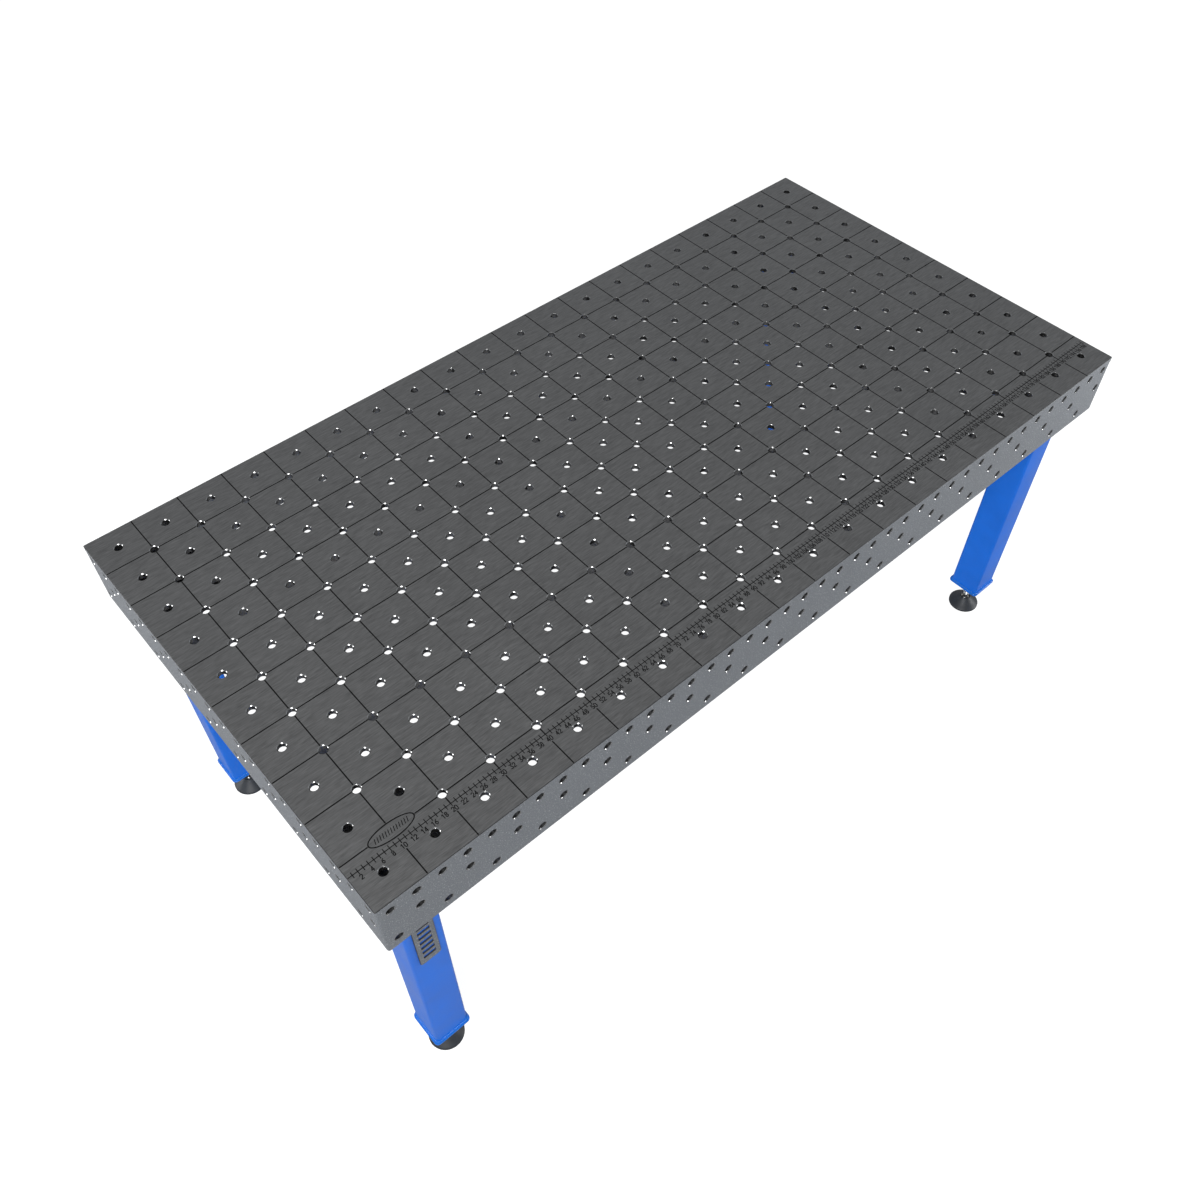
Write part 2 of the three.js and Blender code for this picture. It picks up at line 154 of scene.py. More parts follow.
CAMERA_PLACE = (-1.210, -1.2571, 2.5219)
CAMERA_HEADING = 41.37  # degrees from +Y towards +X
CAMERA_DIP = 50.99  # degrees below the horizon
CAMERA_LENS = 33.80
CAMERA_SENSOR = 36.0
FLOOR_HALF = 20
FLOOR_GREY = (0.42, 0.42, 0.42, 1)
FLOOR_GLOW = 0.85  # only the camera sees it, so it throws no light back at the table
WORLD_COLORS = (  # sine of the height above the horizon, colour
    (0.0, (0.60, 0.63, 0.67)),
    (0.62, (0.27, 0.277, 0.285)),
    (1.0, (0.31, 0.315, 0.32)),
)
LIGHTS = (  # name, place, target, size, power
    ("key", (-3.3, -2.5, 4.2), (0, 0, 0.8), 2.4, 190),
    ("rear", (-3.8, 2.6, 1.1), (-0.4, 0, 0.7), 1.6, 50),
    ("fill", (3.4, -2.8, 0.95), (0.4, 0, 0.7), 1.5, 60),
)


def add_camera():
    camera = bpy.data.objects.new("camera", bpy.data.cameras.new("camera"))
    camera.data.lens = CAMERA_LENS
    camera.data.sensor_width = CAMERA_SENSOR
    camera.location = CAMERA_PLACE
    tilt = math.radians(90 - CAMERA_DIP)
    camera.rotation_euler = (tilt, 0, -math.radians(CAMERA_HEADING))
    bpy.context.scene.collection.objects.link(camera)
    bpy.context.scene.camera = camera


def add_area_light(name, place, target, size, power):
    light = bpy.data.lights.new(name, "AREA")
    light.shape = "DISK"
    light.size = size
    light.energy = power
    lamp = bpy.data.objects.new(name, light)
    lamp.location = place
    aim = Vector(target) - Vector(place)
    lamp.rotation_euler = aim.to_track_quat("-Z", "Y").to_euler()
    bpy.context.scene.collection.objects.link(lamp)


def add_lights():
    world = bpy.data.worlds.new("studio")
    world.use_nodes = True
    nodes, links = world.node_tree.nodes, world.node_tree.links
    background = nodes["Background"]
    coordinates = nodes.new("ShaderNodeTexCoord")
    height = nodes.new("ShaderNodeSeparateXYZ")
    ramp = nodes.new("ShaderNodeValToRGB")
    stops = ramp.color_ramp.elements
    stops.new(WORLD_COLORS[1][0])
    for stop, (at, color) in zip(stops, WORLD_COLORS):
        stop.position = at
        stop.color = (*color, 1)
    links.new(coordinates.outputs["Generated"], height.inputs[0])
    links.new(height.outputs["Z"], ramp.inputs["Fac"])
    links.new(ramp.outputs["Color"], background.inputs["Color"])
    bpy.context.scene.world = world
    bpy.context.scene.view_settings.view_transform = "Standard"
    for light in LIGHTS:
        add_area_light(*light)


def add_floor():
    mesh = bpy.data.meshes.new("floor")
    signs = ((-1, -1), (1, -1), (1, 1), (-1, 1))
    mesh.from_pydata([(x * FLOOR_HALF, y * FLOOR_HALF, 0) for x, y in signs], [], [(0, 1, 2, 3)])
    paint = bpy.data.materials.new("floor_white")
    paint.use_nodes = True
    shader = paint.node_tree.nodes["Principled BSDF"]
    shader.inputs["Base Color"].default_value = FLOOR_GREY
    shader.inputs["Roughness"].default_value = 0.9
    shader.inputs["Emission Color"].default_value = (1, 1, 1, 1)
    nodes, links = paint.node_tree.nodes, paint.node_tree.links
    seen = nodes.new("ShaderNodeMath")
    seen.operation = "MULTIPLY"
    seen.inputs[1].default_value = FLOOR_GLOW
    links.new(nodes.new("ShaderNodeLightPath").outputs["Is Camera Ray"], seen.inputs[0])
    links.new(seen.outputs[0], shader.inputs["Emission Strength"])
    mesh.materials.append(paint)
    floor = bpy.data.objects.new("floor", mesh)
    bpy.context.scene.collection.objects.link(floor)


# ---- Materials ---------------------------------

NOISE_SPAN = (0.3, 0.7)  # nearly all of a noise texture's values lie in here
COLD_GREEN = 0.42  # a cold grey gains this share of its blue in green


class Finish:
    """A procedural material on the Principled shader, textured in object coordinates."""

    def __init__(self, name, metallic, **sockets):
        self.material = bpy.data.materials.new(name)
        self.material.use_nodes = True
        self.tree = self.material.node_tree
        self.shader = self.tree.nodes["Principled BSDF"]
        self.shader.inputs["Metallic"].default_value = metallic
        for socket, value in sockets.items():
            self.shader.inputs[socket.replace("_", " ")].default_value = value
        self.place = self.tree.nodes.new("ShaderNodeTexCoord").outputs["Object"]

    def noise(self, per_metre, detail=3.0, rough=0.5, stretch=(1, 1, 1)):
        mapping = self.tree.nodes.new("ShaderNodeMapping")
        mapping.inputs["Scale"].default_value = [per_metre * s for s in stretch]
        noise = self.tree.nodes.new("ShaderNodeTexNoise")
        noise.inputs["Scale"].default_value = 1.0
        noise.inputs["Detail"].default_value = detail
        noise.inputs["Roughness"].default_value = rough
        self.tree.links.new(self.place, mapping.inputs["Vector"])
        self.tree.links.new(mapping.outputs["Vector"], noise.inputs["Vector"])
        return noise.outputs["Fac"]

    def ramp(self, factor, low, low_color, high, high_color):
        ramp = self.tree.nodes.new("ShaderNodeValToRGB")
        stops = ((low, low_color), (high, high_color))
        for element, (at, color) in zip(ramp.color_ramp.elements, stops):
            element.position = at
            element.color = (*color, 1)
        self.tree.links.new(factor, ramp.inputs["Fac"])
        return ramp.outputs["Color"]

    def mix(self, mode, factor, first, second):
        mix = self.tree.nodes.new("ShaderNodeMix")
        mix.data_type = "RGBA"
        mix.blend_type = mode
        mix.inputs["Factor"].default_value = factor
        self.tree.links.new(first, mix.inputs["A"])
        self.tree.links.new(second, mix.inputs["B"])
        return mix.outputs["Result"]

    def remap(self, factor, low, high):
        span = self.tree.nodes.new("ShaderNodeMapRange")
        span.inputs["From Min"].default_value = NOISE_SPAN[0]
        span.inputs["From Max"].default_value = NOISE_SPAN[1]
        span.inputs["To Min"].default_value = low
        span.inputs["To Max"].default_value = high
        self.tree.links.new(factor, span.inputs["Value"])
        return span.outputs["Result"]

    def bump(self, height, distance, strength):
        bump = self.tree.nodes.new("ShaderNodeBump")
        bump.inputs["Strength"].default_value = strength
        bump.inputs["Distance"].default_value = distance
        self.tree.links.new(height, bump.inputs["Height"])
        self.tree.links.new(bump.outputs["Normal"], self.shader.inputs["Normal"])

    def drive(self, socket, output):
        self.tree.links.new(output, self.shader.inputs[socket])


def grey(value, cold=0.0):
    """A grey of one brightness in red, pushed towards blue by the cold share."""
    return (value, value * (1 + cold * COLD_GREEN), value * (1 + cold))


def brushed_top_steel():
    """Dark ground plate: fine grinding lines along the table, cloudy oxide, a few bright specks."""
    finish = Finish("top_steel", 0.85)
    lines = finish.noise(1.0, 2.0, 0.6, (45, 760, 60))
    clouds = finish.noise(5.0, 3.0)
    specks = finish.noise(900.0, 1.0)
    tone = finish.ramp(lines, 0.25, grey(0.172), 0.75, grey(0.320))
    cloud = finish.ramp(clouds, 0.3, grey(0.93), 0.7, grey(1.0))
    speck = finish.ramp(specks, 0.70, grey(0.0), 0.80, grey(0.10))
    shade = finish.mix("MULTIPLY", 1.0, tone, cloud)
    finish.drive("Base Color", finish.mix("ADD", 1.0, shade, speck))
    finish.drive("Roughness", finish.remap(lines, 0.40, 0.52))
    finish.bump(lines, 0.00004, 0.6)
    return finish.material


def speckled_side_steel(name="side_steel", light=0.37):
    """Blasted plate: a fine even grain with light specks."""
    finish = Finish(name, 0.75)
    grain = finish.noise(540.0, 2.0, 0.7)
    specks = finish.noise(330.0, 1.0)
    clouds = finish.noise(7.0, 3.0)
    tone = finish.ramp(grain, 0.3, grey(light * 0.56, 0.13), 0.7, grey(light * 1.14, 0.13))
    speck = finish.ramp(specks, 0.62, grey(0.0), 0.73, grey(0.36))
    cloud = finish.ramp(clouds, 0.3, grey(0.94), 0.7, grey(1.0))
    shade = finish.mix("MULTIPLY", 1.0, tone, cloud)
    finish.drive("Base Color", finish.mix("ADD", 1.0, shade, speck))
    finish.drive("Roughness", finish.remap(grain, 0.46, 0.62))
    finish.bump(grain, 0.00008, 0.5)
    return finish.material


def raw_rib_steel():
    """Hot rolled plate: blue-grey mill scale with rusty brown patches."""
    finish = Finish("rib_steel", 0.6)
    scale = finish.noise(22.0, 5.0, 0.6)
    grain = finish.noise(400.0, 2.0)
    patches = finish.noise(9.0, 4.0)
    tone = finish.ramp(scale, 0.35, (0.16, 0.165, 0.175), 0.65, (0.27, 0.27, 0.28))
    rust = finish.ramp(patches, 0.55, (1, 1, 1), 0.75, (0.95, 0.86, 0.78))
    finish.drive("Base Color", finish.mix("MULTIPLY", 1.0, tone, rust))
    finish.drive("Roughness", finish.remap(scale, 0.5, 0.68))
    finish.bump(grain, 0.00006, 0.5)
    return finish.material


def turned_steel(name="turned_steel", light=0.50, rough=0.26, spread=0.14):
    """Bare machined metal: fine circular tool marks read as a tight grain."""
    finish = Finish(name, 1.0)
    marks = finish.noise(1.0, 2.0, 0.5, (300, 300, 2200))
    finish.drive("Base Color", finish.ramp(marks, 0.3, grey(light * 0.82), 0.7, grey(light)))
    finish.drive("Roughness", finish.remap(marks, rough, rough + spread))
    finish.bump(marks, 0.00002, 0.4)
    return finish.material


def dark_scribe():
    """Burnt floor of a scribed line."""
    finish = Finish("scribed_line", 0.0, Specular_IOR_Level=0.15)
    soot = finish.noise(800.0, 2.0)
    finish.drive("Base Color", finish.ramp(soot, 0.3, grey(0.003), 0.7, grey(0.010)))
    finish.drive("Roughness", finish.remap(soot, 0.6, 0.8))
    return finish.material


def leg_paint(name="leg_paint", deep=(0.003, 0.150, 0.73), light=(0.005, 0.178, 0.84)):
    """Blue powder coat: orange peel, a gloss film and faint dust."""
    sockets = {"Specular_IOR_Level": 0.32, "Coat_Weight": 0.20, "Coat_Roughness": 0.22}
    finish = Finish(name, 0.0, **sockets)
    peel = finish.noise(420.0, 2.0, 0.45)
    clouds = finish.noise(11.0, 3.0)
    dust = finish.noise(800.0, 1.0)
    tone = finish.ramp(clouds, 0.3, deep, 0.7, light)
    fleck = finish.ramp(dust, 0.74, grey(0.0), 0.82, grey(0.12))
    finish.drive("Base Color", finish.mix("ADD", 1.0, tone, fleck))
    finish.drive("Roughness", finish.remap(clouds, 0.30, 0.40))
    finish.bump(peel, 0.00012, 0.35)
    return finish.material


def zinc_plate():
    """Bright zinc with a faint mottled passivation."""
    finish = Finish("zinc", 1.0)
    mottle = finish.noise(160.0, 4.0, 0.6)
    tone = finish.ramp(mottle, 0.3, (0.50, 0.51, 0.52), 0.7, (0.68, 0.68, 0.66))
    finish.drive("Base Color", tone)
    finish.drive("Roughness", finish.remap(mottle, 0.22, 0.38))
    finish.bump(mottle, 0.00003, 0.4)
    return finish.material


def moulded(name, deep, light, rough, pitch, depth):
    """Moulded plastic or rubber: an eroded mould texture and scuffs."""
    finish = Finish(name, 0.0)
    texture = finish.noise(pitch, 3.0, 0.6)
    scuffs = finish.noise(1.0, 3.0, 0.6, (60, 60, 14))
    tone = finish.ramp(texture, 0.3, deep, 0.7, light)
    worn = finish.ramp(scuffs, 0.4, grey(0.85), 0.7, grey(1.15))
    finish.drive("Base Color", finish.mix("MULTIPLY", 1.0, tone, worn))
    finish.drive("Roughness", finish.remap(texture, rough, rough + 0.12))
    finish.bump(texture, depth, 0.5)
    return finish.material


def weld_metal():
    """Bare weld bead: heat tinted and a little glossy."""
    finish = Finish("weld_metal", 0.9)
    tint = finish.noise(60.0, 3.0)
    tone = finish.ramp(tint, 0.3, (0.24, 0.21, 0.20), 0.7, (0.42, 0.40, 0.40))
    finish.drive("Base Color", tone)
    finish.drive("Roughness", finish.remap(tint, 0.28, 0.5))
    finish.bump(tint, 0.00008, 0.5)
    return finish.material


# ---- Mesh helpers ------------------------------

# Stands a flat plate up, so that it faces -Y.
UPRIGHT = Matrix(((1, 0, 0, 0), (0, 0, -1, 0), (0, 1, 0, 0), (0, 0, 0, 1)))


class Solid:
    """Points and faces of one piece. Each face names one of the piece's materials by number."""

    def __init__(self):
        self.points = []
        self.faces = []
        self.paints = []

    def loop(self, points):
        start = len(self.points)
        self.points.extend(points)
        return list(range(start, len(self.points)))

    def face(self, corners, paint=0):
        self.faces.append(corners)
        self.paints.append(paint)

    def bridge(self, first, second, paint=0):
        for k, corner in enumerate(first):
            after = (k + 1) % len(first)
            self.face((corner, first[after], second[after], second[k]), paint)

    def loft(self, loops, closed=False):
        """Skins a row of equal loops. Closed joins the last to the first, else both are capped."""
        rings = [self.loop(points) for points in loops]
        for first, second in zip(rings, rings[1:]):
            self.bridge(first, second)
        if closed:
            self.bridge(rings[-1], rings[0])
        else:
            self.face(tuple(reversed(rings[0])))
            self.face(tuple(rings[-1]))


def make_piece(name, solid, paints, body="root", nodes=(), place=None, sharp=SHARP_ANGLE):
    mesh = bpy.data.meshes.new(name)
    mesh.from_pydata(solid.points, [], solid.faces)
    mesh.polygons.foreach_set("material_index", solid.paints)
    shape = bmesh.new()
    shape.from_mesh(mesh)
    bmesh.ops.remove_doubles(shape, verts=shape.verts, dist=MERGE_DISTANCE)
    bmesh.ops.recalc_face_normals(shape, faces=shape.faces)
    if place is not None:
        bmesh.ops.transform(shape, matrix=place, verts=shape.verts)
    shape.to_mesh(mesh)
    shape.free()
    for paint in paints:
        mesh.materials.append(paint)
    mesh.shade_smooth()
    mesh.set_sharp_from_angle(angle=math.radians(sharp))
    piece = bpy.data.objects.new(name, mesh)
    bpy.context.scene.collection.objects.link(piece)
    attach(piece, body)
    if nodes:
        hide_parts(*nodes)


def circle(x, y, radius, steps=HOLE_STEPS):
    return [
        (x + radius * math.cos(math.tau * k / steps), y + radius * math.sin(math.tau * k / steps))
        for k in range(steps)
    ]


def rounded_rectangle(left, low, right, high, radius, steps=ARC_STEPS):
    centres = (
        (right - radius, high - radius),
        (left + radius, high - radius),
        (left + radius, low + radius),
        (right - radius, low + radius),
    )
    points = []
    for quarter, (x, y) in enumerate(centres):
        for k in range(steps + 1):
            angle = math.pi / 2 * (quarter + k / steps)
            points.append((x + radius * math.cos(angle), y + radius * math.sin(angle)))
    return points


def at_height(points, height):
    return [(x, y, height) for x, y in points]


def stroke(x0, y0, x1, y1, width, overrun=0.0):
    """Rectangle around a pen stroke, as four corners."""
    along = Vector((x1 - x0, y1 - y0)).normalized()
    across = Vector((-along.y, along.x)) * (width / 2)
    start = Vector((x0, y0)) - along * overrun
    end = Vector((x1, y1)) + along * overrun
    return [start - across, end - across, end + across, start + across]


def flat_face(outline, openings, scribes=()):
    """Triangulates a flat face around its openings. Returns points, plain and scribed triangles."""
    points, loops = [], []
    for loop in [outline, *openings, *scribes]:
        loops.append(list(range(len(points), len(points) + len(loop))))
        points.extend(Vector(p) for p in loop)
    found = delaunay_2d_cdt(points, [], loops, 1, FLAT_TOLERANCE)
    vertices, _, triangles, _, _, owners = found
    plain, scribed = [], []
    for triangle, owner in zip(triangles, owners):
        if any(0 < loop <= len(openings) for loop in owner):
            continue
        if max(owner) > len(openings):
            scribed.append(triangle)
        else:
            plain.append(triangle)
    return vertices, plain, scribed


def sink(solid, vertices, triangles, paint):
    """Lowers the scribed triangles into the face and closes the lines with walls."""
    edges = {}
    for triangle in triangles:
        for k, first in enumerate(triangle):
            edges[(first, triangle[(k + 1) % 3])] = True
    top = solid.loop(at_height(vertices, 0))
    floor = solid.loop(at_height(vertices, -SCRIBE_DEPTH))
    for triangle in triangles:
        solid.face(tuple(floor[k] for k in triangle), paint)
    for first, second in edges:
        if (second, first) not in edges:
            solid.face((top[first], top[second], floor[second], floor[first]), paint)


def plate(outline, rim, openings, thickness, scribes=(), chamfer=HOLE_CHAMFER, rim_paints=(0, 0)):
    """A plate with its outer face at height 0, going down.

    outline(level) is the rim's loop at one level of the rim list, and opening(grow) a hole's loop.
    The paints are 0 face, 1 scribed line, 2 machined chamfer, 3 rim, 4 bore; rim_paints gives
    those of the rim's upper edge and of the rest of it.
    """
    solid = Solid()
    widened = [opening(chamfer) for opening in openings]
    faces = ((0, rim[0], scribes), (-thickness, rim[-1], ()))
    for height, level, lines in faces:
        vertices, plain, scribed = flat_face(outline(level), widened, lines)
        index = solid.loop(at_height(vertices, height))
        for triangle in plain:
            solid.face(tuple(index[k] for k in triangle))
        if scribed:
            sink(solid, vertices, scribed, 1)
    rings = [solid.loop(at_height(outline(level), -level[-1])) for level in rim]
    for level, (first, second) in enumerate(zip(rings, rings[1:])):
        solid.bridge(second, first, rim_paints[min(level, 1)])
    for opening in openings:
        wall = [(chamfer, 0), (0, chamfer), (0, thickness - chamfer), (chamfer, thickness)]
        rings = [solid.loop(at_height(opening(grow), -depth)) for grow, depth in wall]
        for first, second, paint in zip(rings, rings[1:], (2, 4, 2)):
            solid.bridge(first, second, paint)
    return solid


def round_hole(x, y, radius=HOLE_RADIUS):
    return lambda grow: circle(x, y, radius + grow)


def even_rim(left, low, right, high, corner, thickness, break_size=EDGE_BREAK):
    """Outline and rim levels of a plate whose four edges are chamfered alike."""
    low_edge = thickness - break_size
    rim = [(break_size, 0), (0, break_size), (0, low_edge), (break_size, thickness)]

    def outline(level):
        inset = level[0]
        return rounded_rectangle(
            left + inset, low + inset, right - inset, high - inset, corner - inset / 2
        )

    return outline, rim


def turned_loop(radius, height, steps=TURN_STEPS, x=0.0, y=0.0):
    return [(*point, height) for point in circle(x, y, radius, steps)]


def turn(solid, profile, steps=TURN_STEPS, x=0.0, y=0.0):
    """Solid of revolution about an upright axis, from a closed list of (radius, height)."""
    loops = [turned_loop(radius, height, steps, x, y) for radius, height in profile]
    solid.loft(loops, closed=True)


def ring_profile(bore, radius, low, high, round_edge):
    """Section of a washer or bush with its outer edges broken."""
    return [
        (bore, low),
        (radius - round_edge, low),
        (radius, low + round_edge),
        (radius, high - round_edge),
        (radius - round_edge, high),
        (bore, high),
    ]


def hexagon_radius(flats, angle):
    sixth = math.pi / 3
    return flats / 2 / math.cos((angle + sixth / 2) % sixth - sixth / 2)


def hexagon_loop(flats, limit, height, steps=TURN_STEPS, x=0.0, y=0.0):
    """Hexagon whose corners are turned down to a limit radius."""
    points = []
    for k in range(steps):
        angle = math.tau * k / steps
        radius = min(hexagon_radius(flats, angle), limit)
        points.append((x + radius * math.cos(angle), y + radius * math.sin(angle), height))
    return points


def chamfered_hexagon(flats, low, high, x=0.0, y=0.0, ends=(True, True)):
    """Loops of a hexagon with its corners turned at 30 degrees on the ends that say so."""
    corner = flats / 2 / math.cos(math.pi / 6)
    reach = corner - flats / 2
    drop = reach * math.tan(math.radians(30))
    shares = [k / HEXAGON_STEPS for k in range(HEXAGON_STEPS + 1)]
    loops = []
    for share in shares:
        limit = flats / 2 + reach * share if ends[0] else corner
        loops.append(hexagon_loop(flats, limit, low + drop * share, x=x, y=y))
    for share in shares:
        limit = corner - reach * share if ends[1] else corner
        loops.append(hexagon_loop(flats, limit, high - drop * (1 - share), x=x, y=y))
    return loops


def softened(node, name, paint):
    """A CAD solid with its sharp edges broken by a small bevel."""
    shape = bmesh.new()
    shape.from_mesh(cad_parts[node].data)
    bmesh.ops.remove_doubles(shape, verts=shape.verts, dist=MERGE_DISTANCE)
    bmesh.ops.dissolve_limit(
        shape, angle_limit=math.radians(1), verts=shape.verts, edges=shape.edges
    )
    sharp = [edge for edge in shape.edges if edge.calc_face_angle(0) > math.radians(20)]
    bmesh.ops.bevel(shape, geom=sharp, offset=RIB_BREAK, segments=2, profile=0.5, affect="EDGES")
    solid = Solid()
    solid.loop([tuple(vertex.co) for vertex in shape.verts])
    for face in shape.faces:
        solid.face(tuple(vertex.index for vertex in face.verts))
    shape.free()
    make_piece(name, solid, [paint], nodes=[node])


def bead(solid, stations, size, closed=False):
    """Rippled convex fillet weld. A station is (corner point, direction out, direction up).

    An open bead thins out over the last stations at either end.
    """
    loops = []
    last = len(stations) - 1
    for k, (point, out, up) in enumerate(stations):
        ripple = 1 + BEAD_SWELL * math.cos(math.tau * k / 3)
        taper = 1 if closed else min(1, 0.35 + 0.3 * min(k, last - k))
        reach = size * ripple * taper
        arc = [
            point + (out * math.cos(angle) + up * math.sin(angle)) * reach
            for angle in (math.pi / 2 * step / 4 for step in range(5))
        ]
        loops.append([tuple(p) for p in [point - (out + up) * BEAD_ROOT, *arc]])
    solid.loft(loops, closed=closed)


def straight_bead(solid, start, end, out, up, size):
    """Fillet weld along a straight inside corner."""
    start, end = Vector(start), Vector(end)
    count = max(4, round((end - start).length / (BEAD_RIPPLE / 3)))
    stations = [(start.lerp(end, k / count), Vector(out), Vector(up)) for k in range(count + 1)]
    bead(solid, stations, size)


# ---- Table top ---------------------------------


def family(first, length, width):
    """Hole centres of one family, measured from the table's front left corner."""
    for i in range(math.ceil((length - first) / GRID - COUNT_TOLERANCE)):
        for j in range(math.ceil((width - first) / GRID - COUNT_TOLERANCE)):
            yield first + i * GRID, first + j * GRID


def grid_lines(length, width):
    """Scribed lines from hole to hole, with a gap for the ruler's numbers and for the mark."""
    stop = HOLE_RADIUS + HOLE_CHAMFER + SCRIBE_GAP
    edge = EDGE_BREAK + SCRIBE_GAP
    across, along = round(length / GRID), round(width / GRID)
    lines = []
    for j in range(1, along):
        y = j * GRID
        for i in range(across):
            x0 = i * GRID + (stop if i else edge)
            x1 = (i + 1) * GRID - (stop if i + 1 < across else edge)
            if j == 1 and i == 0:
                x1 = GRID - MARK_LENGTH / 2 - SCRIBE_GAP
            if j == 1 and i == 1:
                x0 = GRID + MARK_LENGTH / 2 + SCRIBE_GAP
            lines.append(stroke(x0, y, x1, y, SCRIBE_WIDTH))
    for i in range(1, across):
        x = i * GRID
        lines.append(stroke(x, edge, x, CROSS_LINE_STOP, SCRIBE_WIDTH))
        if i > 1:
            lines.append(stroke(x, RULER_LINE, x, GRID - stop, SCRIBE_WIDTH))
        for j in range(1, along):
            y0 = j * GRID + stop
            y1 = (j + 1) * GRID - (stop if j + 1 < along else edge)
            if i == 1 and j == 1:
                y0 = GRID + MARK_WIDTH / 2 + SCRIBE_GAP
            lines.append(stroke(x, y0, x, y1, SCRIBE_WIDTH))
    return lines


def number_strokes(text, x, y):
    """Pen strokes of a number centred on x, y."""
    strokes = []
    left = x - ((len(text) - 1) * DIGIT_PITCH + DIGIT_WIDTH) / 2
    low = y - NUMBER_HEIGHT / 2
    for place, digit in enumerate(text):
        for line in DIGITS[digit]:
            points = [
                (left + place * DIGIT_PITCH + u * DIGIT_WIDTH / 2, low + v * NUMBER_HEIGHT / 4)
                for u, v in line
            ]
            for (x0, y0), (x1, y1) in zip(points, points[1:]):
                strokes.append(stroke(x0, y0, x1, y1, PEN_WIDTH, PEN_OVERRUN))
    return strokes


def ruler(length):
    """A line along the front edge with a tick every centimetre and even numbers."""
    count = round(length / RULER_STEP)
    edge = EDGE_BREAK + SCRIBE_GAP
    lines = [stroke(edge, RULER_LINE, length - RULER_STEP, RULER_LINE, RULER_WIDTH)]
    for k in range(1, count):
        x = k * RULER_STEP
        low, high = RULER_LINE - RULER_TICK / 2, RULER_LINE + RULER_TICK / 2
        lines.append(stroke(x, low, x, high, RULER_WIDTH))
        if k % NUMBER_STEP == 0:
            lines.extend(number_strokes(str(k), x, NUMBER_MIDDLE))
    return lines


def oval_mark():
    """Plain oval outline with a row of slanting bars, where the first crossing isn't drilled."""

    def rim_point(k, inset):
        angle = math.tau * k / MARK_STEPS
        return (
            GRID + (MARK_LENGTH / 2 - inset) * math.cos(angle),
            GRID + (MARK_WIDTH / 2 - inset) * math.sin(angle),
        )

    lines = []
    for k in range(MARK_STEPS):
        outer = [rim_point(k, 0), rim_point(k + 1, 0)]
        inner = [rim_point(k + 1, SCRIBE_WIDTH), rim_point(k, SCRIBE_WIDTH)]
        lines.append(outer + inner)
    lean, rise = MARK_BAR_HALF
    for k in range(MARK_BARS):
        x = GRID + (k - (MARK_BARS - 1) / 2) * MARK_BAR_PITCH
        lines.append(stroke(x - lean, GRID - rise, x + lean, GRID + rise, MARK_BAR_WIDTH))
    return lines


def add_top(paints):
    low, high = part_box("top_plate")
    length, width, thickness = high - low
    holes = [
        round_hole(x, y)
        for first in (GRID / 2, GRID)
        for x, y in family(first, length, width)
        if max(abs(x - GRID), abs(y - GRID)) > GRID / 4
    ]
    outline, rim = even_rim(0, 0, length, width, TOP_CORNER, thickness)
    rim[-2:] = [(0, thickness - SEAM), (SEAM, thickness)]  # ground flush onto the sides
    scribes = grid_lines(length, width) + ruler(length) + oval_mark()
    # The rim's upper edge takes paint 5, a near-black steel that paints a dark reflection along the
    # top edge.
    solid = plate(outline, rim, holes, thickness, scribes, rim_paints=(5, 3))
    place = Matrix.Translation((low.x, low.y, high.z))
    make_piece("top_plate_drilled", solid, paints, nodes=["top_plate"], place=place)


def side_holes(face_length, depth):
    holes = []
    for drop, first, pitch in SIDE_ROWS:
        for k in range(math.ceil((face_length - first) / pitch - COUNT_TOLERANCE)):
            holes.append(round_hole(first + k * pitch, depth - drop))
    return holes


def add_side(node, turn_angle, round_ends, paints):
    """A side or end plate, modelled as seen from outside and turned into place."""
    low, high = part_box(node)
    top_low, top_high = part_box("top_plate")
    along = 0 if round_ends else 1
    face_length = top_high[along] - top_low[along]
    distance = (top_high[1 - along] - top_low[1 - along]) / 2
    thickness = high[1 - along] - low[1 - along]
    trim = 0 if round_ends else thickness
    depth = top_high.z - low.z
    height = top_low.z - low.z
    holes = side_holes(face_length, depth)
    radius = BOX_CORNER if round_ends else SEAM
    rim = []
    for k in range(ARC_STEPS + 1):
        angle = math.pi / 2 * k / ARC_STEPS
        down = radius * (1 - math.cos(angle))
        rim.append((radius * (1 - math.sin(angle)), max(0, EDGE_BREAK - down), down))
    if not round_ends:
        rim.append((0, 0, EDGE_BREAK))
    rim += [(0, 0, thickness - EDGE_BREAK), (EDGE_BREAK, EDGE_BREAK, thickness)]

    def outline(level):
        end, edge = level[0], level[1]
        upper = min(edge, SEAM)
        left, right = trim + end, face_length - trim - end
        return [(right, height - upper), (left, height - upper), (left, edge), (right, edge)]

    solid = plate(outline, rim, holes, thickness)
    shift = Matrix.Translation((-face_length / 2, -distance, low.z))
    place = Matrix.Rotation(turn_angle, 4, "Z") @ shift @ UPRIGHT
    make_piece(f"{node}_drilled", solid, paints, nodes=[node], place=place)


def add_box(top_paints, side_paints):
    add_top(top_paints)
    add_side("side_plate_front", 0, True, side_paints)
    add_side("side_plate_rear", math.pi, True, side_paints)
    add_side("end_plate_right", math.pi / 2, False, side_paints)
    add_side("end_plate_left", -math.pi / 2, False, side_paints)


# ---- Ribs and their welds ----------------------

STITCH = 0.045
STITCH_PITCH = 0.200
RIBS = {
    "long_rib_front": 0,
    "long_rib_rear": 0,
    "cross_rib_left": 1,
    "cross_rib_middle": 1,
    "cross_rib_right": 1,
}


